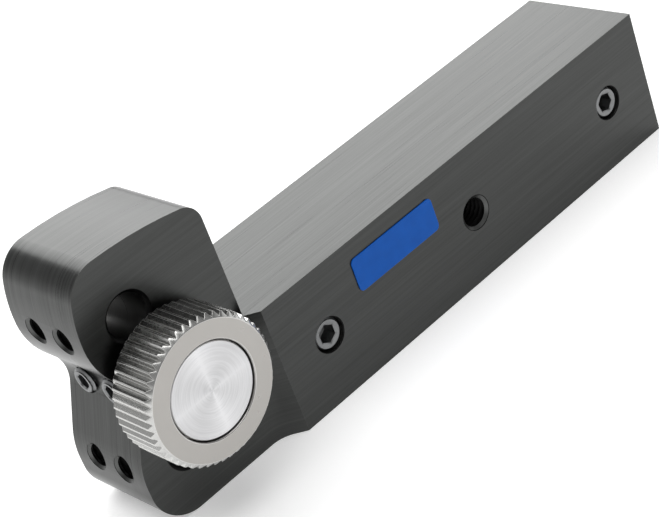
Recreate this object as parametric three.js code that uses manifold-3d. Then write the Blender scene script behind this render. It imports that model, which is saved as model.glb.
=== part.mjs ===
// Form knurling tool holder: a square shank with a head plate that carries one knurling wheel on a clamped axle pin.
// Millimetres. +X runs along the shank towards the head, +Y out of the wheel side, +Z up.
// The origin is on the shank's bottom face, under the middle tapped hole.

import * as THREE from 'three';
import { mergeVertices } from 'three/addons/utils/BufferGeometryUtils.js';
import Module from 'manifold-3d';

const wasm = await Module();
wasm.setup();

// ---------------------------------------------------------------- driving dimensions

const SHANK_SIDE = 20;
const SHANK_REAR_X = -39;
const SHANK_FRONT_X = 38.5;
const HALF_SHANK = SHANK_SIDE / 2;

const HEAD_FRONT_Y = 7.25;
const HEAD_REAR_Y = -8.05;
const STEP_FILLET_R = 4.3;
const HEAD_BACK_X = 39.65;
const NOSE_X = 62.1;
const NOSE_CORNER_R = 6;
const CUT = 1;

const AXLE_X = 52.7;
const AXLE_Z = 19.6;
const SPARE_BORE_X = 54.5;
const UPPER_BORE_RISE = 10.25;
const LOWER_BORE_DROP = 10.5;
const BORE_R = 3;
const BORE_MOUTH = 0.5;

const WHEEL_R = 10;
const WHEEL_WIDTH = 8;
const WHEEL_BACK_Y = 8.5;
const WHEEL_FRONT_Y = WHEEL_BACK_Y + WHEEL_WIDTH;
const TOOTH_COUNT = 52;
const TOOTH_DEPTH = 0.5;
const TOOTH_TIP_SHARE = 0.2;
const WHEEL_CHAMFER = 0.7;
const WHEEL_BORE_R = 3.04;
const COUNTERBORE_R = 6.6;
const COUNTERBORE_DEPTH = 2;

const PIN_R = 2.97;
const PIN_REAR_Y = -7.5;
const PIN_HEAD_R = 6.4;
const PIN_HEAD_RECESS = 0.25;
const PIN_HEAD_GAP = 0.05;
const PIN_CHAMFER = 0.3;

const WASHER_R = 5.6;
const WASHER_BORE_R = 3.1;
const WASHER_GAP = 0.05;

const CLAMP_THREAD_R = 2;
const CLAMP_SCREW_R = 1.95;
const CLAMP_SCREW_LENGTH = 4;
const CLAMP_SCREW_FRONT_X = 59.1;
const CLAMP_SOCKET_WIDTH = 2;
const CLAMP_ROW_Y = [-3.4, 2.7];
const CLAMP_TIP_GAP = 0.04;

const SIDE_THREAD_R = 2.5;
const SIDE_SCREW_R = 2.45;
const SIDE_SCREW_LENGTH = 6;
const SIDE_SCREW_RECESS = 0.4;
const SIDE_SOCKET_WIDTH = 2.5;
const SIDE_HOLE_SPACING = 30;

const LABEL_LENGTH = 16;
const LABEL_HEIGHT = 5.2;
const LABEL_THICKNESS = 0.2;
const LABEL_CORNER_R = 0.8;
const LABEL_X = 15;
const LABEL_Z = 14.7;

const ROUND_SEGMENTS = 48;
const SCREW_SEGMENTS = 32;
const ARC_STEP_DEG = 6;

// ---------------------------------------------------------------- materials

function metal(name, color, roughness) {
  return new THREE.MeshStandardMaterial({ name, color, roughness, metalness: 1 });
}

const darkSteel = metal('dark_steel', 0x5c5e5d, 0.42);
const wheelSteel = metal('wheel_steel', 0xbdbab4, 0.3);
const pinSteel = metal('pin_steel', 0xd5d5d8, 0.22);
const washerSteel = metal('washer_steel', 0xa6a6a6, 0.35);
const screwSteel = metal('screw_steel', 0x808282, 0.4);
const labelBlue = new THREE.MeshStandardMaterial({ name: 'label_blue', color: 0x0d56a6, roughness: 0.4, metalness: 0 });

// ---------------------------------------------------------------- solids

/** Turns a closed geometry into a solid that can be joined and cut. */
function solid(geometry) {
  geometry.deleteAttribute('normal');
  geometry.deleteAttribute('uv');
  const merged = mergeVertices(geometry, 1e-4);
  return new wasm.Manifold(new wasm.Mesh({
    numProp: 3,
    vertProperties: new Float32Array(merged.attributes.position.array),
    triVerts: new Uint32Array(merged.index.array),
  }));
}

/** A named mesh from a solid. */
function piece(name, body, material) {
  const mesh = body.getMesh();
  const geometry = new THREE.BufferGeometry();
  geometry.setAttribute('position', new THREE.BufferAttribute(mesh.vertProperties, 3));
  geometry.setIndex(new THREE.BufferAttribute(mesh.triVerts, 1));
  geometry.computeVertexNormals();
  const result = new THREE.Mesh(geometry, material);
  result.name = name;
  return result;
}

/** Points along an outline that starts at (u, v) with a heading in degrees from +u, by straight runs and tangent arcs.
 *  A positive turn goes left and a negative one right. */
function trace(u, v, heading, stretches) {
  const points = [new THREE.Vector2(u, v)];
  let angle = THREE.MathUtils.degToRad(heading);
  for (const { run = 0, radius = 0, turn = 0 } of stretches) {
    const last = points[points.length - 1];
    if (run > 0) {
      points.push(new THREE.Vector2(last.x + run * Math.cos(angle), last.y + run * Math.sin(angle)));
      continue;
    }
    const steps = Math.max(1, Math.ceil(Math.abs(turn) / ARC_STEP_DEG));
    const side = Math.sign(turn);
    const centreU = last.x - side * radius * Math.sin(angle);
    const centreV = last.y + side * radius * Math.cos(angle);
    for (let i = 1; i <= steps; i += 1) {
      const a = angle + THREE.MathUtils.degToRad(turn) * i / steps;
      points.push(new THREE.Vector2(centreU + side * radius * Math.sin(a), centreV - side * radius * Math.cos(a)));
    }
    angle += THREE.MathUtils.degToRad(turn);
  }
  return points;
}

/** An outline in the XZ plane, given thickness from one Y to another. */
function plateY(points, fromY, toY) {
  const geometry = new THREE.ExtrudeGeometry(new THREE.Shape(points), { depth: toY - fromY, bevelEnabled: false });
  geometry.rotateX(Math.PI / 2);
  geometry.translate(0, toY, 0);
  return solid(geometry);
}

/** An outline in the XY plane, given height from z = 0. */
function blockZ(points, height) {
  return solid(new THREE.ExtrudeGeometry(new THREE.Shape(points), { depth: height, bevelEnabled: false }));
}

/** A turned solid about a line along +Y. The profile is a list of [radius, y] that starts and ends on the axis,
 *  or closes on itself, and runs with increasing y on its outer side. */
function turnedY(profile, segments = ROUND_SEGMENTS) {
  const points = profile.map(([r, y]) => new THREE.Vector2(r, y));
  return solid(new THREE.LatheGeometry(points, segments));
}

/** A plain round bar along +Y. */
function barY(radius, fromY, toY, segments = ROUND_SEGMENTS) {
  return turnedY([[0, fromY], [radius, fromY], [radius, toY], [0, toY]], segments);
}

/** A six-sided socket along +Y, sized across its flats. */
function socketY(width, fromY, toY) {
  return barY(width / 2 / Math.cos(Math.PI / 6), fromY, toY, 6);
}

/** Turns a solid made along +Y so that it runs along +X. */
function alongX(body) {
  return body.rotate([0, 0, -90]);
}

// ---------------------------------------------------------------- holder

/** Side outline of the head plate: a nose corner, a lower lobe, a waist at the axle's height and a tall upper lobe. */
function headOutline() {
  const points = trace(NOSE_X - NOSE_CORNER_R, 0, 0, [
    { radius: NOSE_CORNER_R, turn: 90 },
    { run: 1.4 },
    { radius: 12, turn: 23 },
    { run: 6.26 },
    { radius: 5, turn: -63 },
    { radius: 10.4, turn: 40 },
    { radius: 20, turn: 18 },
    { radius: 5, turn: 72 },
    { radius: 62.7, turn: 13 },
    { radius: 3.12, turn: 77 },
  ]);
  points[points.length - 1].x = HEAD_BACK_X;
  points.push(new THREE.Vector2(HEAD_BACK_X, 0));
  return points;
}

/** Plan outline of the shank, with a 45 degree wall and a fillet on each side down to the thinner head. */
function shankPlan() {
  const filletDrop = STEP_FILLET_R * (1 - Math.SQRT1_2);
  const wall = (drop) => (drop - filletDrop) * Math.SQRT2;
  const rearSide = trace(SHANK_FRONT_X, -HALF_SHANK, 45, [
    { run: wall(HALF_SHANK + HEAD_REAR_Y) },
    { radius: STEP_FILLET_R, turn: -45 },
  ]);
  const frontSide = trace(SHANK_FRONT_X, HALF_SHANK, -45, [
    { run: wall(HALF_SHANK - HEAD_FRONT_Y) },
    { radius: STEP_FILLET_R, turn: 45 },
  ]);
  rearSide[rearSide.length - 1].y = HEAD_REAR_Y;
  frontSide[frontSide.length - 1].y = HEAD_FRONT_Y;
  return [
    new THREE.Vector2(SHANK_REAR_X, -HALF_SHANK),
    ...rearSide,
    new THREE.Vector2(AXLE_X - WHEEL_R / 2, HEAD_REAR_Y),
    new THREE.Vector2(AXLE_X - WHEEL_R / 2, HEAD_FRONT_Y),
    ...frontSide.reverse(),
    new THREE.Vector2(SHANK_REAR_X, HALF_SHANK),
  ];
}

/** The cutter for one pin bore through the head plate, flared at both mouths. */
function pinBore(x, z) {
  const mouth = BORE_R + BORE_MOUTH + CUT;
  return turnedY([
    [0, HEAD_REAR_Y - CUT],
    [mouth, HEAD_REAR_Y - CUT],
    [BORE_R, HEAD_REAR_Y + BORE_MOUTH],
    [BORE_R, HEAD_FRONT_Y - BORE_MOUTH],
    [mouth, HEAD_FRONT_Y + CUT],
    [0, HEAD_FRONT_Y + CUT],
  ]).translate([x, 0, z]);
}

/** The cutter for one clamp screw hole, from the head's front edge into a pin bore. */
function clampHole(boreX, y, z) {
  return alongX(barY(CLAMP_THREAD_R, boreX, NOSE_X + CUT, SCREW_SEGMENTS)).translate([0, y, z]);
}

/** The cutter for one tapped hole through the shank from side to side. */
function sideHole(x) {
  const reach = HALF_SHANK + CUT;
  return barY(SIDE_THREAD_R, -reach, reach, SCREW_SEGMENTS).translate([x, 0, HALF_SHANK]);
}

function holderBody() {
  let body = plateY(headOutline(), HEAD_REAR_Y, HEAD_FRONT_Y).add(blockZ(shankPlan(), SHANK_SIDE));
  const bores = [
    [SPARE_BORE_X, AXLE_Z + UPPER_BORE_RISE],
    [AXLE_X, AXLE_Z],
    [SPARE_BORE_X, AXLE_Z - LOWER_BORE_DROP],
  ];
  for (const [x, z] of bores) {
    body = body.subtract(pinBore(x, z));
    for (const y of CLAMP_ROW_Y) {
      body = body.subtract(clampHole(x, y, z));
    }
  }
  for (const step of [-1, 0, 1]) {
    body = body.subtract(sideHole(step * SIDE_HOLE_SPACING));
  }
  return piece('holder_body', body, darkSteel);
}

// ---------------------------------------------------------------- wheel, pin and washer

/** The toothed outline of the wheel, with a narrow flat on each tooth and a sharp root between two. */
function toothOutline() {
  const points = [];
  const pitch = 2 * Math.PI / TOOTH_COUNT;
  const at = (radius, turn) => points.push(new THREE.Vector2(radius * Math.cos(turn), radius * Math.sin(turn)));
  for (let i = 0; i < TOOTH_COUNT; i += 1) {
    at(WHEEL_R, (i - TOOTH_TIP_SHARE / 2) * pitch);
    at(WHEEL_R, (i + TOOTH_TIP_SHARE / 2) * pitch);
    at(WHEEL_R - TOOTH_DEPTH, (i + 0.5) * pitch);
  }
  return points;
}

function knurlingWheel() {
  const teeth = plateY(toothOutline(), 0, WHEEL_WIDTH);
  const bevelled = turnedY([
    [0, 0],
    [WHEEL_R - WHEEL_CHAMFER, 0],
    [WHEEL_R + CUT, WHEEL_CHAMFER + CUT],
    [WHEEL_R + CUT, WHEEL_WIDTH - WHEEL_CHAMFER - CUT],
    [WHEEL_R - WHEEL_CHAMFER, WHEEL_WIDTH],
    [0, WHEEL_WIDTH],
  ], TOOTH_COUNT);
  const body = teeth
    .intersect(bevelled)
    .subtract(barY(WHEEL_BORE_R, -CUT, WHEEL_WIDTH + CUT))
    .subtract(barY(COUNTERBORE_R, WHEEL_WIDTH - COUNTERBORE_DEPTH, WHEEL_WIDTH + CUT))
    .translate([AXLE_X, WHEEL_BACK_Y, AXLE_Z]);
  return piece('knurling_wheel', body, wheelSteel);
}

/** The axle pin: a shank in the holder's bore, a flat for the clamp screws and a wide thin head in the wheel. */
function axlePin() {
  const headBack = WHEEL_FRONT_Y - COUNTERBORE_DEPTH + PIN_HEAD_GAP;
  const headFront = WHEEL_FRONT_Y - PIN_HEAD_RECESS;
  const flatX = CLAMP_SCREW_FRONT_X - CLAMP_SCREW_LENGTH - CLAMP_TIP_GAP - AXLE_X;
  const bar = turnedY([
    [0, PIN_REAR_Y],
    [PIN_R - PIN_CHAMFER, PIN_REAR_Y],
    [PIN_R, PIN_REAR_Y + PIN_CHAMFER],
    [PIN_R, headBack],
    [PIN_HEAD_R, headBack],
    [PIN_HEAD_R, headFront - PIN_CHAMFER / 2],
    [PIN_HEAD_R - PIN_CHAMFER / 2, headFront],
    [0, headFront],
  ]);
  const flat = new THREE.BoxGeometry(PIN_R, HEAD_FRONT_Y - PIN_REAR_Y, 2 * PIN_R + CUT);
  flat.translate(flatX + PIN_R / 2, (HEAD_FRONT_Y + PIN_REAR_Y) / 2 - CUT, 0);
  return piece('axle_pin', bar.subtract(solid(flat)).translate([AXLE_X, 0, AXLE_Z]), pinSteel);
}

/** The thrust washer that keeps the wheel clear of the head. */
function thrustWasher() {
  const back = HEAD_FRONT_Y + WASHER_GAP;
  const front = WHEEL_BACK_Y - WASHER_GAP;
  const ring = turnedY([
    [WASHER_BORE_R, back],
    [WASHER_R, back],
    [WASHER_R, front],
    [WASHER_BORE_R, front],
    [WASHER_BORE_R, back],
  ]);
  return piece('thrust_washer', ring.translate([AXLE_X, 0, AXLE_Z]), washerSteel);
}

// ---------------------------------------------------------------- set screws and label

/** A headless set screw along +Y with its socket end at y = 0 and its tip below. */
function setScrew(radius, length, socketWidth) {
  const chamfer = radius * 0.17;
  const rod = turnedY([
    [0, -length],
    [radius - chamfer, -length],
    [radius, chamfer - length],
    [radius, -chamfer],
    [radius - chamfer, 0],
    [0, 0],
  ], SCREW_SEGMENTS);
  return rod.subtract(socketY(socketWidth, -socketWidth, CUT));
}

function clampScrew(name, y) {
  const screw = alongX(setScrew(CLAMP_SCREW_R, CLAMP_SCREW_LENGTH, CLAMP_SOCKET_WIDTH));
  return piece(name, screw.translate([CLAMP_SCREW_FRONT_X, y, AXLE_Z]), screwSteel);
}

function sideScrew(name, x) {
  const screw = setScrew(SIDE_SCREW_R, SIDE_SCREW_LENGTH, SIDE_SOCKET_WIDTH);
  return piece(name, screw.translate([x, HALF_SHANK - SIDE_SCREW_RECESS, HALF_SHANK]), screwSteel);
}

/** The blank label on the shank's wheel side. */
function sideLabel() {
  const runs = [LABEL_LENGTH - 2 * LABEL_CORNER_R, LABEL_HEIGHT - 2 * LABEL_CORNER_R];
  const corner = { radius: LABEL_CORNER_R, turn: 90 };
  const outline = trace(LABEL_X - runs[0] / 2, LABEL_Z - LABEL_HEIGHT / 2, 0, [
    { run: runs[0] },
    corner,
    { run: runs[1] },
    corner,
    { run: runs[0] },
    corner,
    { run: runs[1] },
    corner,
  ]);
  outline.pop();
  return piece('side_label', plateY(outline, HALF_SHANK, HALF_SHANK + LABEL_THICKNESS), labelBlue);
}

// ---------------------------------------------------------------- assembly

const knurlingToolHolder = new THREE.Group();
knurlingToolHolder.name = 'knurling_tool_holder';
knurlingToolHolder.add(
  holderBody(),
  axlePin(),
  thrustWasher(),
  knurlingWheel(),
  clampScrew('rear_clamp_screw', CLAMP_ROW_Y[0]),
  clampScrew('front_clamp_screw', CLAMP_ROW_Y[1]),
  sideScrew('tail_side_screw', -SIDE_HOLE_SPACING),
  sideScrew('head_side_screw', SIDE_HOLE_SPACING),
  sideLabel(),
);

export default knurlingToolHolder;
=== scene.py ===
"""Looks for the form knurling tool holder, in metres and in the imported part's frame: +X towards the head,
+Y out of the wheel side, +Z up, with the origin on the shank's bottom face."""

import math

import bmesh
import bpy
from mathutils import Matrix, Vector


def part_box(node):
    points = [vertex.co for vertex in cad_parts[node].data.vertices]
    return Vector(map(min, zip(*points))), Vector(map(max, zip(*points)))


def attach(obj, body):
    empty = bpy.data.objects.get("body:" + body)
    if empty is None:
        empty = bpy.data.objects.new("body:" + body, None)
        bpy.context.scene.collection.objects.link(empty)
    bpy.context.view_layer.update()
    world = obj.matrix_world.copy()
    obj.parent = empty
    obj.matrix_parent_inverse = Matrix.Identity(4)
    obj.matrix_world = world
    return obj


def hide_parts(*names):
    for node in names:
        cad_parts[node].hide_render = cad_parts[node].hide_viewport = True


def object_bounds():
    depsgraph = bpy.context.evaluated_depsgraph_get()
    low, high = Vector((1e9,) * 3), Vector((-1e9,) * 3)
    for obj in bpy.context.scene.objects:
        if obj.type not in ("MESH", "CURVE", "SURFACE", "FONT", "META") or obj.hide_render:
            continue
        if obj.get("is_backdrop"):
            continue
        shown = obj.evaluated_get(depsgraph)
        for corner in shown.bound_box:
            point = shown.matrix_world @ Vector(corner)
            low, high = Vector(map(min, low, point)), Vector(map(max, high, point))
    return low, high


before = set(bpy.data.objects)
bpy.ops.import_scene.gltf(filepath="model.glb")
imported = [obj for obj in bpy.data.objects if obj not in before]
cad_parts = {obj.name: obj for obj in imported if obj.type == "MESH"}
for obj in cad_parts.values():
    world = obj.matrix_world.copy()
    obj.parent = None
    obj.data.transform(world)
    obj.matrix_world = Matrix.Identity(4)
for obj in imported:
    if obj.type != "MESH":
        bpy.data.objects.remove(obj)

MM = 0.001
CAD_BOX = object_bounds()

# ---------------------------------------------------------------- places and sizes from the frame


def middle(low, high):
    return (low + high) / 2


HOLDER_LOW, HOLDER_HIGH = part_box("holder_body")
WHEEL_LOW, WHEEL_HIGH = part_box("knurling_wheel")
PIN_LOW, PIN_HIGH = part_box("axle_pin")
WASHER_LOW, WASHER_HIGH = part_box("thrust_washer")
LABEL_LOW, LABEL_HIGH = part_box("side_label")

SHANK_SIDE = HOLDER_HIGH.y - HOLDER_LOW.y
HALF_SHANK = SHANK_SIDE / 2
SHANK_FRONT_X = 38.5 * MM
NOSE_X = HOLDER_HIGH.x
HEAD_BACK_X = 39.65 * MM
HEAD_FRONT_Y = 7.25 * MM
HEAD_REAR_Y = -8.05 * MM
STEP_FILLET_R = 4.3 * MM

AXLE_X = middle(WHEEL_LOW.x, WHEEL_HIGH.x)
AXLE_Z = middle(WHEEL_LOW.z, WHEEL_HIGH.z)
SPARE_BORE_X = AXLE_X + 1.8 * MM
UPPER_BORE_RISE = 10.25 * MM
LOWER_BORE_DROP = 10.5 * MM
BORE_R = 3 * MM
BORE_MOUTH = 0.5 * MM
PIN_BORES = [
    (SPARE_BORE_X, AXLE_Z + UPPER_BORE_RISE),
    (AXLE_X, AXLE_Z),
    (SPARE_BORE_X, AXLE_Z - LOWER_BORE_DROP),
]

WHEEL_R = (WHEEL_HIGH.x - WHEEL_LOW.x) / 2
WHEEL_BACK_Y = WHEEL_LOW.y
WHEEL_FRONT_Y = WHEEL_HIGH.y
TOOTH_COUNT = 52
TOOTH_DEPTH = 0.5 * MM
TOOTH_TIP_END = 0.1
TOOTH_ROOT_START = 0.47
RING_R = WHEEL_R - 0.7 * MM
WHEEL_BORE_R = 3.04 * MM
COUNTERBORE_R = 6.6 * MM
COUNTERBORE_DEPTH = 2 * MM

PIN_R = 2.97 * MM
PIN_HEAD_R = (PIN_HIGH.x - PIN_LOW.x) / 2
PIN_HEAD_FRONT_Y = PIN_HIGH.y
PIN_HEAD_BACK_Y = WHEEL_FRONT_Y - COUNTERBORE_DEPTH + 0.05 * MM

CLAMP_HOLE_R = 2 * MM
CLAMP_PITCH = 0.7 * MM
CLAMP_SOCKET = 2 * MM
CLAMP_ROW_Y = [middle(*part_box(node)).y for node in ("rear_clamp_screw", "front_clamp_screw")]
CLAMP_THREAD_LENGTH = 4.4 * MM
SIDE_HOLE_R = 2.5 * MM
SIDE_HOLE_MOUTH = 0.12 * MM
SIDE_PITCH = 0.8 * MM
SIDE_SOCKET = 2.5 * MM
SIDE_HOLE_X = [middle(*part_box("tail_side_screw")).x, 0.0, middle(*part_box("head_side_screw")).x]
SIDE_THREAD_LENGTH = 5 * MM

OUTLINE_STEP = math.radians(3)
EDGE_ROUND = 0.09 * MM
TOOTH_EDGE_ROUND = 0.035 * MM
LABEL_EDGE_ROUND = 0.07 * MM
FLAT_FACE_WEIGHT = 60

# ---------------------------------------------------------------- mesh helpers


def trace(u, v, heading, stretches):
    """Points along an outline that starts at (u, v) with a heading in degrees from +u, by straight runs
    ("run", length) and tangent arcs ("arc", radius, turn). A positive turn goes left."""
    points = [(u, v)]
    angle = math.radians(heading)
    for kind, size, *turns in stretches:
        u, v = points[-1]
        if kind == "run":
            points.append((u + size * math.cos(angle), v + size * math.sin(angle)))
            continue
        turn = math.radians(turns[0])
        side = math.copysign(1, turn)
        centre_u = u - side * size * math.sin(angle)
        centre_v = v + side * size * math.cos(angle)
        steps = max(2, math.ceil(abs(turn) / OUTLINE_STEP))
        for i in range(1, steps + 1):
            a = angle + turn * i / steps
            points.append((centre_u + side * size * math.sin(a), centre_v - side * size * math.cos(a)))
        angle += turn
    return points


def mesh_object(name, points, faces):
    """A mesh object from points and faces, with its faces turned outwards."""
    mesh = bpy.data.meshes.new(name)
    mesh.from_pydata(points, [], faces)
    work = bmesh.new()
    work.from_mesh(mesh)
    bmesh.ops.remove_doubles(work, verts=work.verts, dist=1e-7)
    bmesh.ops.recalc_face_normals(work, faces=work.faces)
    work.to_mesh(mesh)
    work.free()
    made = bpy.data.objects.new(name, mesh)
    bpy.context.scene.collection.objects.link(made)
    return made


def prism(name, outline, low, high, place):
    """An outline of (u, v) points given thickness from low to high. place turns (u, v, t) into a point."""
    count = len(outline)
    points = [place(u, v, t) for t in (low, high) for u, v in outline]
    sides = [(i, (i + 1) % count, count + (i + 1) % count, count + i) for i in range(count)]
    caps = [tuple(range(count)), tuple(range(2 * count - 1, count - 1, -1))]
    return mesh_object(name, points, sides + caps)


def along(origin, axis, roll=0.0):
    """A place function for turned pieces: (angle, radius, t) becomes a point about a line along axis."""
    axis = Vector(axis)
    origin = Vector(origin)
    up = Vector((0, 0, 1))
    across = axis.cross(up)

    def place(angle, radius, t):
        a = angle + roll
        return origin + axis * t + (up * math.cos(a) + across * math.sin(a)) * radius

    return place


def loft(name, rings, segments, place, closed=False):
    """A skin over rings. Each ring is (radius, t), where radius and t may be functions of the angle.
    An open stack of rings is capped at both ends, and a closed one joins its last ring to its first."""
    points = []
    for radius, t in rings:
        for i in range(segments):
            angle = 2 * math.pi * i / segments
            r = radius(angle) if callable(radius) else radius
            depth = t(angle) if callable(t) else t
            points.append(place(angle, r, depth))
    count = len(rings)
    faces = []
    for j in range(count if closed else count - 1):
        a, b = j * segments, (j + 1) % count * segments
        faces += [(a + i, a + (i + 1) % segments, b + (i + 1) % segments, b + i) for i in range(segments)]
    if not closed:
        faces.append(tuple(range(segments)))
        faces.append(tuple(range(count * segments - 1, (count - 1) * segments - 1, -1)))
    return mesh_object(name, points, faces)


def settle(made):
    """Applies an object's modifiers to its mesh."""
    graph = bpy.context.evaluated_depsgraph_get()
    shown = made.evaluated_get(graph)
    mesh = bpy.data.meshes.new_from_object(shown, preserve_all_data_layers=True, depsgraph=graph)
    made.modifiers.clear()
    made.data = mesh
    return made


def combine(target, tools, operation):
    """Joins tools to target or cuts them out of it. A cut face keeps its tool's material."""
    group = bpy.data.collections.new("tools")
    for tool in tools:
        group.objects.link(tool)
    modifier = target.modifiers.new("combine", "BOOLEAN")
    modifier.operation = operation
    modifier.solver = "EXACT"
    modifier.operand_type = "COLLECTION"
    modifier.collection = group
    modifier.material_mode = "TRANSFER"
    bpy.context.view_layer.update()
    settle(target)
    for tool in tools:
        bpy.data.objects.remove(tool)
    bpy.data.collections.remove(group)
    return target


def soften(made, width, edge_slot=-1, angle=28):
    """Rounds an object's sharp edges a little and shades its flat faces flat."""
    bevel = made.modifiers.new("round", "BEVEL")
    bevel.width = width
    bevel.segments = 2
    bevel.limit_method = "ANGLE"
    bevel.angle_limit = math.radians(angle)
    bevel.material = edge_slot
    bevel.use_clamp_overlap = True
    bevel.miter_outer = "MITER_ARC"
    for polygon in made.data.polygons:
        polygon.use_smooth = True
    weighted = made.modifiers.new("normals", "WEIGHTED_NORMAL")
    weighted.keep_sharp = True
    weighted.weight = FLAT_FACE_WEIGHT
    return settle(made)


def shade_by_angle(made, angle):
    """Smooth shading with sharp edges wherever faces meet at more than angle degrees."""
    work = bmesh.new()
    work.from_mesh(made.data)
    for face in work.faces:
        face.smooth = True
    for edge in work.edges:
        edge.smooth = len(edge.link_faces) == 2 and edge.calc_face_angle(0) < math.radians(angle)
    work.to_mesh(made.data)
    work.free()
    return made


def fit_out(made, materials, body, stands_for=()):
    """Gives a piece its materials and its body, and hides the CAD nodes it stands for."""
    if isinstance(materials, bpy.types.Material):
        materials = [materials]
    if not made.data.materials:
        for material in materials:
            made.data.materials.append(material)
    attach(made, body)
    if stands_for:
        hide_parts(*stands_for)
    return made


# ---------------------------------------------------------------- material helpers


class Shader:
    """A material under construction, with short ways to add and join its nodes."""

    def __init__(self, name):
        self.material = bpy.data.materials.new(name)
        self.material.use_nodes = True
        self.tree = self.material.node_tree
        self.bsdf = self.tree.nodes["Principled BSDF"]

    def node(self, kind, **settings):
        made = self.tree.nodes.new(kind)
        for key, value in settings.items():
            setattr(made, key, value)
        return made

    def join(self, source, target):
        self.tree.links.new(source, target)

    def coordinates(self):
        return self.node("ShaderNodeTexCoord").outputs

    def math(self, operation, a, b=None):
        made = self.node("ShaderNodeMath", operation=operation)
        for socket, value in zip(made.inputs, (a, b)):
            if value is None:
                continue
            if isinstance(value, (int, float)):
                socket.default_value = value
            else:
                self.join(value, socket)
        return made.outputs[0]

    def noise(self, vector, stretch, detail=4.0, roughness=0.6):
        """Noise on coordinates stretched by so many cycles per metre along each axis."""
        mapping = self.node("ShaderNodeMapping")
        mapping.inputs["Scale"].default_value = stretch
        self.join(vector, mapping.inputs["Vector"])
        made = self.node("ShaderNodeTexNoise")
        made.inputs["Scale"].default_value = 1.0
        made.inputs["Detail"].default_value = detail
        made.inputs["Roughness"].default_value = roughness
        self.join(mapping.outputs[0], made.inputs["Vector"])
        return made.outputs["Fac"]

    def blend(self, factor, a, b):
        """a where factor is 0 and b where it is 1, for numbers."""
        made = self.node("ShaderNodeMix", data_type="FLOAT")
        for socket, value in zip((made.inputs[0], made.inputs[2], made.inputs[3]), (factor, a, b)):
            if isinstance(value, (int, float)):
                socket.default_value = value
            else:
                self.join(value, socket)
        return made.outputs[0]

    def ramp(self, factor, stops):
        """A colour ramp from (position, colour) stops."""
        made = self.node("ShaderNodeValToRGB")
        elements = made.color_ramp.elements
        while len(elements) < len(stops):
            elements.new(0.5)
        for element, (position, colour) in zip(elements, stops):
            element.position = position
            element.color = (*colour, 1)
        self.join(factor, made.inputs[0])
        return made.outputs[0]

    def spread(self, factor, low, high):
        """factor from 0.3 to 0.7 spread over low to high."""
        made = self.node("ShaderNodeMapRange")
        for key, value in (("From Min", 0.3), ("From Max", 0.7), ("To Min", low), ("To Max", high)):
            made.inputs[key].default_value = value
        self.join(factor, made.inputs["Value"])
        return made.outputs[0]

    def bump(self, height, strength, distance):
        made = self.node("ShaderNodeBump")
        made.inputs["Strength"].default_value = strength
        made.inputs["Distance"].default_value = distance
        self.join(height, made.inputs["Height"])
        self.join(made.outputs[0], self.bsdf.inputs["Normal"])


def scaled(colour, factor):
    return tuple(min(1.0, c * factor) for c in colour)


def finish_metal(shader, colour, contrast, streaks, roughness, roughness_swing, bump_height, anisotropy=0.0):
    """Sets a metal's colour, roughness and bump from one streak pattern."""
    stops = [(0.3, scaled(colour, 1 - contrast)), (0.5, colour), (0.7, scaled(colour, 1 + contrast))]
    shader.join(shader.ramp(streaks, stops), shader.bsdf.inputs["Base Color"])
    rough = shader.spread(streaks, roughness - roughness_swing, roughness + roughness_swing)
    shader.join(rough, shader.bsdf.inputs["Roughness"])
    shader.bump(streaks, 0.35, bump_height)
    shader.bsdf.inputs["Metallic"].default_value = 1.0
    shader.bsdf.inputs["Anisotropic"].default_value = anisotropy
    return shader.material


FINE_STREAKS = 4200
FINE_RUN = 60
BROAD_STREAKS = 1200
BROAD_RUN = 25
BROAD_SHARE = 0.3
BROAD_SHARE_ON_SIDES = 0.35
CALM_ON_SIDES = 0.6


def brushed_steel(name, colour, contrast, roughness, roughness_swing, bump_height):
    """Steel ground along the shank. The lines keep to one Y on top and round the head, and to one Z on the
    sides, where they are calmer."""
    shader = Shader(name)
    coordinates = shader.coordinates()
    place = coordinates["Object"]
    over = shader.noise(place, (FINE_RUN, FINE_STREAKS, FINE_RUN))
    over_broad = shader.noise(place, (BROAD_RUN, BROAD_STREAKS, BROAD_RUN), detail=2.0)
    sides = shader.noise(place, (FINE_RUN, FINE_RUN, FINE_STREAKS))
    sides_broad = shader.noise(place, (BROAD_RUN, BROAD_RUN, BROAD_STREAKS), detail=2.0)
    split = shader.node("ShaderNodeSeparateXYZ")
    shader.join(coordinates["Normal"], split.inputs[0])
    facing_side = shader.math("GREATER_THAN", shader.math("ABSOLUTE", split.outputs["Y"]), 0.6)
    fine = shader.blend(facing_side, over, sides)
    broad = shader.blend(facing_side, over_broad, sides_broad)
    streaks = shader.blend(shader.blend(facing_side, BROAD_SHARE, BROAD_SHARE_ON_SIDES), fine, broad)
    streaks = shader.blend(shader.blend(facing_side, 0.0, CALM_ON_SIDES), streaks, 0.5)
    return finish_metal(shader, colour, contrast, streaks, roughness, roughness_swing, bump_height)


RING_WANDER = 0.8
# ring contrast kept under the painted highlight, and how narrow its lighter fans are
RING_SHARE_UNDER_HIGHLIGHT = 0.45
HIGHLIGHT_FAN_NARROWNESS = 0.6


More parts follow.
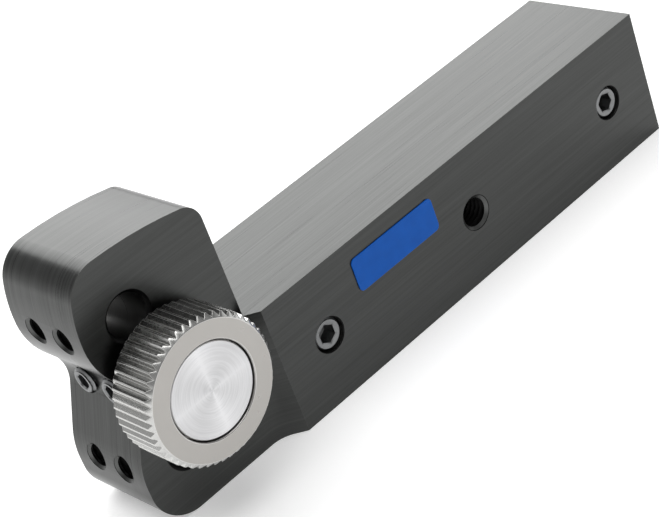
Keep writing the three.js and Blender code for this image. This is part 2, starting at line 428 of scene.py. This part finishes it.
def turned_steel(name, colour, centre, contrast, roughness, rings, bump_height, anisotropy=0.0, painted_highlight=0.0):
    """Steel turned about a line along +Y through centre, with fine rings about it. A last argument above zero
    paints a
    highlight into the colour: four narrow lighter fans that meet at the centre, where the turned face's
    highlights cross."""
    shader = Shader(name)
    place = shader.coordinates()["Object"]
    offset = shader.node("ShaderNodeVectorMath", operation="SUBTRACT")
    offset.inputs[1].default_value = centre
    shader.join(place, offset.inputs[0])
    flat = shader.node("ShaderNodeVectorMath", operation="MULTIPLY")
    flat.inputs[1].default_value = (1, 0, 1)
    shader.join(offset.outputs[0], flat.inputs[0])
    length = shader.node("ShaderNodeVectorMath", operation="LENGTH")
    shader.join(flat.outputs[0], length.inputs[0])
    split = shader.node("ShaderNodeSeparateXYZ")
    shader.join(place, split.inputs[0])
    unit = shader.node("ShaderNodeVectorMath", operation="NORMALIZE")
    shader.join(flat.outputs[0], unit.inputs[0])
    around = shader.node("ShaderNodeSeparateXYZ")
    shader.join(unit.outputs[0], around.inputs[0])
    reach = shader.math("ADD", length.outputs["Value"], split.outputs["Y"])
    ring_place = shader.node("ShaderNodeCombineXYZ")
    shader.join(around.outputs["X"], ring_place.inputs[0])
    shader.join(reach, ring_place.inputs[1])
    shader.join(around.outputs["Z"], ring_place.inputs[2])
    streaks = shader.noise(ring_place.outputs[0], (RING_WANDER, rings, RING_WANDER), detail=3.0)
    # painted highlight: four lighter fans through the centre, standing in for the turned face's crossing
    # highlights
    if painted_highlight:
        streaks = shader.blend(RING_SHARE_UNDER_HIGHLIGHT, RING_SHARE_UNDER_HIGHLIGHT, streaks)
        across = shader.math("MULTIPLY", around.outputs["X"], around.outputs["Z"])
        diagonal = shader.math("MULTIPLY", shader.math("ABSOLUTE", across), 2.0)
        glow = shader.math("SUBTRACT", 1.0, shader.math("POWER", diagonal, HIGHLIGHT_FAN_NARROWNESS))
        streaks = shader.math("ADD", streaks, shader.math("MULTIPLY", glow, painted_highlight))
    if anisotropy:
        tangent = shader.node("ShaderNodeTangent", direction_type="RADIAL", axis="Y")
        shader.join(tangent.outputs[0], shader.bsdf.inputs["Tangent"])
    swing = roughness * 0.25
    return finish_metal(shader, colour, contrast, streaks, roughness, swing, bump_height, anisotropy)


def ground_steel(name, colour, contrast, roughness, grain, bump_height):
    """Steel with an even fine grain and faint larger patches."""
    shader = Shader(name)
    place = shader.coordinates()["Object"]
    fine = shader.noise(place, (grain, grain, grain))
    patches = shader.noise(place, (150, 150, 150), detail=2.0)
    speckle = shader.blend(0.4, fine, patches)
    return finish_metal(shader, colour, contrast, speckle, roughness, roughness * 0.25, bump_height)


def label_paint():
    """Smooth blue enamel with a faint orange peel."""
    shader = Shader("label_blue")
    place = shader.coordinates()["Object"]
    peel = shader.noise(place, (500, 500, 500), detail=1.0)
    stops = [(0.0, (0.002, 0.07, 0.34)), (1.0, (0.003, 0.095, 0.44))]
    shader.join(shader.ramp(peel, stops), shader.bsdf.inputs["Base Color"])
    shader.join(shader.spread(peel, 0.29, 0.33), shader.bsdf.inputs["Roughness"])
    shader.bump(peel, 0.05, 0.001 * MM)
    shader.bsdf.inputs["Specular IOR Level"].default_value = 0.12
    return shader.material


AXLE_CENTRE = (AXLE_X, 0, AXLE_Z)
DARK_STEEL = brushed_steel("dark_steel", (0.0595, 0.061, 0.0595), 0.36, 0.3, 0.04, 0.0022 * MM)
WORN_EDGE = brushed_steel("worn_edge", (0.1, 0.102, 0.1), 0.4, 0.3, 0.05, 0.004 * MM)
BORED_STEEL = turned_steel("bored_steel", (0.06, 0.06, 0.058), AXLE_CENTRE, 0.2, 0.36, 5000, 0.002 * MM)
WHEEL_STEEL = ground_steel("wheel_steel", (0.385, 0.372, 0.354), 0.012, 0.34, 1200, 0.0002 * MM)
TOOTH_STEEL = ground_steel("tooth_steel", (0.53, 0.53, 0.517), 0.03, 0.25, 1200, 0.0002 * MM)
# painted highlight: lighter steel for the bevel strips on the tooth edges, standing in for edge glints
TOOTH_EDGE_HIGHLIGHT = ground_steel("tooth_edge_painted_highlight", (0.62, 0.615, 0.6), 0.03, 0.36, 1200, 0.0002 * MM)
# the pin head's face carries the painted highlight fans
PIN_STEEL_AND_HIGHLIGHT = turned_steel("pin_steel", (0.59, 0.59, 0.597), AXLE_CENTRE, 0.24, 0.4, 4200, 0.0006 * MM,
                         anisotropy=0.6, painted_highlight=0.28)
WASHER_STEEL = turned_steel("washer_steel", (0.38, 0.38, 0.38), AXLE_CENTRE, 0.1, 0.35, 3000, 0.003 * MM)
SCREW_STEEL = ground_steel("screw_steel", (0.2, 0.204, 0.206), 0.15, 0.38, 5000, 0.004 * MM)
# painted shade: near-black threads stand in for the shade deep inside the tapped holes
THREAD_PAINTED_SHADE = ground_steel("thread_painted_shade", (0.012, 0.012, 0.012), 0.2, 0.5, 5000, 0.004 * MM)
# painted shade: near-black flared mouths stand in for the shade at the edges of the bores and side holes
MOUTH_PAINTED_SHADE = ground_steel("mouth_painted_shade", (0.014, 0.014, 0.014), 0.2, 0.4, 5000, 0.002 * MM)
COUNTERSINK = ground_steel("countersink", (0.1, 0.102, 0.1), 0.1, 0.35, 5000, 0.002 * MM)
LABEL_BLUE = label_paint()

# ---------------------------------------------------------------- holder


def head_outline():
    """Side outline of the head: a nose corner, a lower lobe, a waist by the axle and a tall upper lobe."""
    points = trace(NOSE_X - 6 * MM, 0, 0, [
        ("arc", 6 * MM, 90),
        ("run", 1.4 * MM),
        ("arc", 12 * MM, 23),
        ("run", 6.26 * MM),
        ("arc", 5 * MM, -63),
        ("arc", 10.4 * MM, 40),
        ("arc", 20 * MM, 18),
        ("arc", 5 * MM, 72),
        ("arc", 62.7 * MM, 13),
        ("arc", 3.12 * MM, 77),
    ])
    points[-1] = (HEAD_BACK_X, points[-1][1])
    return points + [(HEAD_BACK_X, 0)]


def shank_plan():
    """Plan outline of the shank, with a 45 degree wall and a fillet on each side down to the thinner head."""
    fillet_drop = STEP_FILLET_R * (1 - math.sqrt(0.5))

    def step(side, drop):
        wall = (drop - fillet_drop) * math.sqrt(2)
        stretches = [("run", wall), ("arc", STEP_FILLET_R, 45 * side)]
        return trace(SHANK_FRONT_X, side * HALF_SHANK, -45 * side, stretches)

    rear = step(-1, HALF_SHANK + HEAD_REAR_Y)
    front = step(1, HALF_SHANK - HEAD_FRONT_Y)
    rear[-1] = (rear[-1][0], HEAD_REAR_Y)
    front[-1] = (front[-1][0], HEAD_FRONT_Y)
    inside = AXLE_X - WHEEL_R / 2
    return [
        (HOLDER_LOW.x, -HALF_SHANK),
        *rear,
        (inside, HEAD_REAR_Y),
        (inside, HEAD_FRONT_Y),
        *reversed(front),
        (HOLDER_LOW.x, HALF_SHANK),
    ]


def flared_cutter(radius, place, low, high, flare, segments=72):
    """A round cutter from low to high whose mouths open by flare at each end, with the mouths painted near
    black as shade.
    """
    reach = 1 * MM
    wide = radius + flare + reach
    rings = [
        (wide, low - reach),
        (radius, low + flare),
        (radius, high - flare),
        (wide, high + reach),
    ]
    cutter = loft("cutter", rings, segments, place)
    # the flared mouths take the near-black painted-shade material
    for material in (BORED_STEEL, MOUTH_PAINTED_SHADE):
        cutter.data.materials.append(material)
    for face in cutter.data.polygons:
        if abs(abs(face.normal.y) - math.sqrt(0.5)) < 0.1:
            face.material_index = 1
    return cutter


def straight_cutter(radius, place, low, high, segments=56):
    cutter = loft("cutter", [(radius, low), (radius, high)], segments, place)
    cutter.data.materials.append(BORED_STEEL)
    return cutter


def hole_cutters():
    """The pin bores, the clamp screw holes that run into them, and the tapped holes through the shank."""
    cutters = []
    for x, z in PIN_BORES:
        place = along((x, 0, z), (0, 1, 0))
        cutters.append(flared_cutter(BORE_R, place, HEAD_REAR_Y, HEAD_FRONT_Y, BORE_MOUTH))
        for y in CLAMP_ROW_Y:
            cutters.append(straight_cutter(CLAMP_HOLE_R, along((0, y, z), (1, 0, 0)), x, NOSE_X + 1 * MM))
    for x in SIDE_HOLE_X:
        place = along((x, 0, HALF_SHANK), (0, 1, 0))
        cutters.append(flared_cutter(SIDE_HOLE_R, place, -HALF_SHANK, HALF_SHANK, SIDE_HOLE_MOUTH))
    return cutters


def build_holder():
    plate = prism("holder", head_outline(), HEAD_REAR_Y, HEAD_FRONT_Y, lambda u, v, t: (u, t, v))
    block = prism("block", shank_plan(), 0, SHANK_SIDE, lambda u, v, t: (u, v, t))
    for made in (plate, block):
        made.data.materials.append(DARK_STEEL)
    combine(plate, [block], "UNION")
    combine(plate, hole_cutters(), "DIFFERENCE")
    work = bmesh.new()
    work.from_mesh(plate.data)
    bmesh.ops.remove_doubles(work, verts=work.verts, dist=2e-6)
    bmesh.ops.dissolve_limit(work, angle_limit=math.radians(0.5), verts=work.verts, edges=work.edges,
                             delimit={"MATERIAL"})
    work.to_mesh(plate.data)
    work.free()
    plate.data.materials.append(WORN_EDGE)
    soften(plate, EDGE_ROUND, edge_slot=len(plate.data.materials) - 1)
    return fit_out(plate, DARK_STEEL, "holder", ["holder_body"])


# ---------------------------------------------------------------- wheel, pin and washer


def tooth_radius(fraction):
    """The wheel's radius at a fraction of a tooth's pitch from the middle of its tip."""
    flank = min(max(abs(fraction), TOOTH_TIP_END), TOOTH_ROOT_START)
    share = (flank - TOOTH_TIP_END) / (TOOTH_ROOT_START - TOOTH_TIP_END)
    return WHEEL_R - TOOTH_DEPTH * share


def build_wheel():
    fractions = (-TOOTH_TIP_END, TOOTH_TIP_END, TOOTH_ROOT_START, 1 - TOOTH_ROOT_START)
    per_tooth = len(fractions)
    segments = TOOTH_COUNT * per_tooth
    pitch = 2 * math.pi / TOOTH_COUNT
    base = along((AXLE_X, 0, AXLE_Z), (0, 1, 0))

    def place(angle, radius, t):
        i = round(angle * segments / (2 * math.pi))
        return base((i // per_tooth + fractions[i % per_tooth]) * pitch, radius, t)

    def rim(angle):
        i = round(angle * segments / (2 * math.pi))
        fraction = fractions[i % per_tooth]
        return tooth_radius(fraction if fraction < 0.5 else 1 - fraction)

    chamfer = 0.12 * MM
    floor_y = WHEEL_FRONT_Y - COUNTERBORE_DEPTH
    rings = [
        (WHEEL_BORE_R, WHEEL_BACK_Y + chamfer),
        (WHEEL_BORE_R + chamfer, WHEEL_BACK_Y),
        (RING_R, WHEEL_BACK_Y),
        (rim, lambda a: WHEEL_BACK_Y + rim(a) - RING_R),
        (rim, lambda a: WHEEL_FRONT_Y - rim(a) + RING_R),
        (RING_R, WHEEL_FRONT_Y),
        (COUNTERBORE_R + chamfer, WHEEL_FRONT_Y),
        (COUNTERBORE_R, WHEEL_FRONT_Y - chamfer),
        (COUNTERBORE_R, floor_y),
        (WHEEL_BORE_R + chamfer, floor_y),
        (WHEEL_BORE_R, floor_y - chamfer),
    ]
    wheel = loft("knurled_wheel", rings, segments, place, closed=True)
    for material in (WHEEL_STEEL, TOOTH_STEEL, TOOTH_EDGE_HIGHLIGHT):
        wheel.data.materials.append(material)
    for face in wheel.data.polygons:
        outside = math.hypot(face.center.x - AXLE_X, face.center.z - AXLE_Z) > RING_R
        face.material_index = 1 if outside else 0
    # the tooth edges' bevel strips take the painted-highlight steel in slot 2
    soften(wheel, TOOTH_EDGE_ROUND, edge_slot=2, angle=30)
    return fit_out(wheel, WHEEL_STEEL, "wheel", ["knurling_wheel"])


def build_pin():
    """The axle pin, with its clamping flat cut by pulling one side of each ring in."""
    edge = 0.3 * MM
    rim = 0.12 * MM
    flat_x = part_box("front_clamp_screw")[0].x - 0.04 * MM - AXLE_X
    base = along((AXLE_X, 0, AXLE_Z), (0, 1, 0))

    def flatted(radius):
        def reach(angle):
            toward_nose = math.sin(angle)
            return min(radius, flat_x / toward_nose) if toward_nose > 1e-6 else radius
        return reach

    def nose_side(angle, radius, t):
        return base(-angle, radius, t)

    rings = [
        (flatted(PIN_R - edge), PIN_LOW.y),
        (flatted(PIN_R), PIN_LOW.y + edge),
        (flatted(PIN_R), HEAD_FRONT_Y - 1 * MM),
        (PIN_R, HEAD_FRONT_Y - 1 * MM),
        (PIN_R, PIN_HEAD_BACK_Y),
        (PIN_HEAD_R - rim, PIN_HEAD_BACK_Y),
        (PIN_HEAD_R, PIN_HEAD_BACK_Y + rim),
        (PIN_HEAD_R, PIN_HEAD_FRONT_Y - rim),
        (PIN_HEAD_R - rim, PIN_HEAD_FRONT_Y),
        (0.12 * MM, PIN_HEAD_FRONT_Y),
        (0.04 * MM, PIN_HEAD_FRONT_Y - 0.04 * MM),
    ]
    pin = loft("flanged_axle_pin", rings, 144, nose_side)
    shade_by_angle(pin, 30)
    return fit_out(pin, PIN_STEEL_AND_HIGHLIGHT, "axle", ["axle_pin"])


def build_washer():
    edge = 0.12 * MM
    outer = (WASHER_HIGH.x - WASHER_LOW.x) / 2
    inner = 3.1 * MM
    low, high = WASHER_LOW.y, WASHER_HIGH.y
    rings = [
        (inner, low + edge),
        (inner + edge, low),
        (outer - edge, low),
        (outer, low + edge),
        (outer, high - edge),
        (outer - edge, high),
        (inner + edge, high),
        (inner, high - edge),
    ]
    washer = loft("spacer_washer", rings, 96, along((AXLE_X, 0, AXLE_Z), (0, 1, 0)), closed=True)
    shade_by_angle(washer, 30)
    return fit_out(washer, WASHER_STEEL, "axle", ["thrust_washer"])


# ---------------------------------------------------------------- threads, screws and label


def thread_wave(angle, t, pitch):
    """0 on a thread's crest and 1 in its root, at an angle and a distance along the axis."""
    phase = (t / pitch - angle / (2 * math.pi)) % 1
    ramp = abs(phase - 0.5) * 2
    return min(max((ramp - 0.12) / 0.68, 0), 1)


def build_screw(name, node, axis, pitch, socket, roll, body):
    """A socket set screw with a thread, a chamfer at each end and a hexagon socket in its outer end."""
    low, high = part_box(node)
    axis_vector = Vector(axis)
    centre = middle(low, high)
    length = abs((high - low).dot(axis_vector))
    radius = (high.z - low.z) / 2
    depth = 0.54 * pitch
    end_r = radius * 0.83
    place = along(centre + axis_vector * length / 2, axis, math.radians(roll))

    def ridge(t):
        def reach(angle):
            crest = radius - depth * thread_wave(angle, t, pitch)
            return min(crest, end_r + min(-t, t + length))
        return reach

    def hexagon(scale):
        def reach(angle):
            turn = (angle + math.pi / 6) % (math.pi / 3) - math.pi / 6
            return scale * socket / 2 / math.cos(math.pi / 6 - abs(turn))
        return reach

    steps = math.ceil(length / pitch * 12)
    rings = [(end_r * 0.55, -length + 0.15 * MM), (end_r * 0.7, -length)]
    rings += [(ridge(-length * (1 - k / steps)), -length * (1 - k / steps)) for k in range(steps + 1)]
    corner = socket / 2 / math.cos(math.pi / 6)
    rings += [
        (corner * 1.1, 0),
        (hexagon(1.0), -0.16 * MM),
        (hexagon(1.0), -socket * 0.95),
        (socket * 0.2, -socket * 0.95 - 0.25 * MM),
    ]
    screw = loft(name, rings, 48, place)
    shade_by_angle(screw, 32)
    return fit_out(screw, SCREW_STEEL, body, [node])


def build_tapped_sleeve(name, mouth, axis, radius, pitch, length, surface=None):
    """The countersunk mouth and thread of an empty tapped hole, as a thin ring whose inner side carries the
    ridges. It starts at mouth and runs back against axis. surface gives how far the ground stands out of the
    mouth at an angle, where it isn't flat."""
    segments = 40
    depth = 0.5 * pitch
    crest = radius - depth
    outer = radius + 0.02 * MM
    below_face = 0.06 * MM
    place = along(mouth, axis)

    def edge(drop):
        return lambda angle: (surface(angle) if surface else 0) - drop

    def ridge(t):
        def reach(angle):
            fade = min(1, (t + length) / pitch)
            return radius - depth * fade * (1 - thread_wave(angle, t, pitch))
        return reach

    begin = depth + 0.35 * MM
    steps = math.ceil((length - begin) / pitch * 10)
    rings = [(outer, edge(below_face)), (crest, edge(below_face + depth))]
    for k in range(steps + 1):
        t = -begin - (length - begin) * k / steps
        rings.append((ridge(t), t))
    rings.append((outer, -length))
    sleeve = loft(name, rings, segments, place, closed=True)
    # the threads take the near-black painted-shade material and the countersunk mouth ring a plain steel
    for material in (THREAD_PAINTED_SHADE, COUNTERSINK):
        sleeve.data.materials.append(material)
    for face in sleeve.data.polygons[:segments]:
        face.material_index = 1
    shade_by_angle(sleeve, 35)
    return fit_out(sleeve, THREAD_PAINTED_SHADE, "holder")


def clamp_hole_mouth(z):
    """How far the head's front edge stands out of x = NOSE_X round a clamp hole at height z."""
    outline = head_outline()

    def stand_out(angle):
        at = z + CLAMP_HOLE_R * math.cos(angle)
        for (u0, v0), (u1, v1) in zip(outline, outline[1:]):
            if v0 <= at < v1:
                return u0 + (u1 - u0) * (at - v0) / (v1 - v0) - NOSE_X
        return 0.0

    return stand_out


def build_label():
    """The blank label, a thin plate with rounded corners and a softened rim."""
    corner = 0.8 * MM
    runs = [LABEL_HIGH.x - LABEL_LOW.x - 2 * corner, LABEL_HIGH.z - LABEL_LOW.z - 2 * corner]
    stretches = []
    for run in runs * 2:
        stretches += [("run", run), ("arc", corner, 90)]
    outline = trace(LABEL_LOW.x + corner, LABEL_LOW.z, 0, stretches)[:-1]
    label = prism("blank_label", outline, LABEL_LOW.y, LABEL_HIGH.y, lambda u, v, t: (u, t, v))
    label.data.materials.append(LABEL_BLUE)
    soften(label, LABEL_EDGE_ROUND, angle=40)
    return fit_out(label, LABEL_BLUE, "holder", ["side_label"])


build_holder()
build_wheel()
build_pin()
build_washer()
build_label()

for body, roll in (("rear_clamp", 8), ("front_clamp", 20)):
    build_screw(f"{body}_set_screw", f"{body}_screw", (1, 0, 0), CLAMP_PITCH, CLAMP_SOCKET, roll, body)
for body, roll in (("tail_side", 15), ("head_side", 0)):
    build_screw(f"{body}_set_screw", f"{body}_screw", (0, 1, 0), SIDE_PITCH, SIDE_SOCKET, roll, body)

for level, (_, z) in (("upper", PIN_BORES[0]), ("lower", PIN_BORES[2])):
    for side, y in zip(("rear", "front"), CLAMP_ROW_Y):
        mouth = (NOSE_X, y, z)
        surface = clamp_hole_mouth(z)
        name = f"{level}_{side}_thread"
        build_tapped_sleeve(name, mouth, (1, 0, 0), CLAMP_HOLE_R, CLAMP_PITCH, CLAMP_THREAD_LENGTH, surface)

front_mouth = (SIDE_HOLE_X[1], HALF_SHANK, HALF_SHANK)
build_tapped_sleeve("middle_front_thread", front_mouth, (0, 1, 0), SIDE_HOLE_R, SIDE_PITCH, HALF_SHANK)
for name, x in zip(("tail", "middle", "head"), SIDE_HOLE_X):
    length = HALF_SHANK if name == "middle" else SIDE_THREAD_LENGTH
    rear_mouth = (x, -HALF_SHANK, HALF_SHANK)
    build_tapped_sleeve(f"{name}_rear_thread", rear_mouth, (0, -1, 0), SIDE_HOLE_R, SIDE_PITCH, length)

# ---------------------------------------------------------------- stage, lights and camera


def build_floor():
    """A plain pale floor with a faint mottle, which glows a little, and more towards the horizon."""
    half = 3.0
    level = -0.02 * MM
    corners = [(-half, -half, level), (half, -half, level), (half, half, level), (-half, half, level)]
    floor = mesh_object("studio_floor", corners, [(0, 1, 2, 3)])
    shader = Shader("pale_floor")
    place = shader.coordinates()["Object"]
    mottle = shader.noise(place, (6, 6, 6), detail=2.0)
    stops = [(0.3, (0.86, 0.86, 0.86)), (0.7, (0.88, 0.88, 0.88))]
    shader.join(shader.ramp(mottle, stops), shader.bsdf.inputs["Base Color"])
    shader.bsdf.inputs["Emission Color"].default_value = (1, 1, 1, 1)
    reach = shader.node("ShaderNodeVectorMath", operation="LENGTH")
    shader.join(place, reach.inputs[0])
    glow = shader.node("ShaderNodeMapRange")
    for key, value in (("From Min", 0.2), ("From Max", 1.2), ("To Min", 0.36), ("To Max", 0.85)):
        glow.inputs[key].default_value = value
    shader.join(reach.outputs["Value"], glow.inputs["Value"])
    shader.join(glow.outputs[0], shader.bsdf.inputs["Emission Strength"])
    shader.bsdf.inputs["Roughness"].default_value = 0.8
    shader.bsdf.inputs["Specular IOR Level"].default_value = 0.1
    floor.data.materials.append(shader.material)
    floor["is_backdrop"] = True


def build_world():
    """Pale near the horizon, dim overhead, and less dim on the wheel side and in a patch past the nose."""
    world = bpy.data.worlds.new("studio")
    world.use_nodes = True
    tree = world.node_tree
    background = tree.nodes["Background"]
    place = tree.nodes.new("ShaderNodeTexCoord")
    split = tree.nodes.new("ShaderNodeSeparateXYZ")
    ramp = tree.nodes.new("ShaderNodeValToRGB")

    def spread(source, low, high, glow):
        made = tree.nodes.new("ShaderNodeMapRange")
        for key, value in (("From Min", low), ("From Max", high), ("To Max", glow)):
            made.inputs[key].default_value = value
        tree.links.new(source, made.inputs["Value"])
        return made

    tree.links.new(place.outputs["Generated"], split.inputs[0])
    tree.links.new(split.outputs["Z"], ramp.inputs[0])
    ramp.color_ramp.elements[0].position = 0.08
    ramp.color_ramp.elements[0].color = (0.9, 0.9, 0.9, 1)
    ramp.color_ramp.elements[1].position = 0.3
    ramp.color_ramp.elements[1].color = (0.12, 0.12, 0.12, 1)
    front = spread(split.outputs["Y"], -0.1, 0.4, 0.2)
    toward = tree.nodes.new("ShaderNodeVectorMath")
    toward.operation = "DOT_PRODUCT"
    toward.inputs[1].default_value = Vector((0.42, -0.72, 0.5)).normalized()
    tree.links.new(place.outputs["Generated"], toward.inputs[0])
    patch = spread(toward.outputs["Value"], 0.86, 0.97, 0.38)
    extra = tree.nodes.new("ShaderNodeMath")
    tree.links.new(front.outputs[0], extra.inputs[0])
    tree.links.new(patch.outputs[0], extra.inputs[1])
    total = tree.nodes.new("ShaderNodeVectorMath")
    tree.links.new(ramp.outputs[0], total.inputs[0])
    tree.links.new(extra.outputs[0], total.inputs[1])
    tree.links.new(total.outputs[0], background.inputs["Color"])
    bpy.context.scene.world = world


def softbox(name, direction, distance, width, height, radiance):
    """A rectangular light that faces the object from a direction. radiance is its brightness in W/m2/sr."""
    aim = Vector((0.02, 0, 0.015))
    light = bpy.data.lights.new(name, "AREA")
    light.shape = "RECTANGLE"
    light.size = width
    light.size_y = height
    light.energy = radiance * math.pi * width * height
    made = bpy.data.objects.new(name, light)
    bpy.context.scene.collection.objects.link(made)
    toward = Vector(direction).normalized()
    made.location = aim + toward * distance
    made.rotation_mode = "QUATERNION"
    made.rotation_quaternion = (-toward).to_track_quat("-Z", "Y")
    return made


def build_camera():
    place = Vector((144.23, 191.36, 145.2)) * MM
    aim = Vector((19.23, 0, 12.74)) * MM
    roll = math.radians(-20.79)
    camera = bpy.data.cameras.new("camera")
    camera.lens = 103.92
    camera.sensor_width = 36
    camera.clip_start = 0.01
    camera.clip_end = 20
    made = bpy.data.objects.new("camera", camera)
    bpy.context.scene.collection.objects.link(made)
    made.location = place
    made.rotation_mode = "QUATERNION"
    turn = Matrix.Rotation(roll, 4, "Z").to_quaternion()
    made.rotation_quaternion = (aim - place).to_track_quat("-Z", "Y") @ turn
    bpy.context.scene.camera = made


build_floor()
build_world()
softbox("top_softbox", (-0.36, -0.72, 0.48), 0.7, 0.64, 0.42, 3.8)
softbox("overhead_softbox", (0.0, 0.0, 1.0), 1.6, 1.6, 1.6, 2.6)
build_camera()
bpy.context.scene.view_settings.view_transform = "Standard"

boxes = {"cad": CAD_BOX, "visual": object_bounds()}
{key: [list(corner) for corner in box] for key, box in boxes.items()}
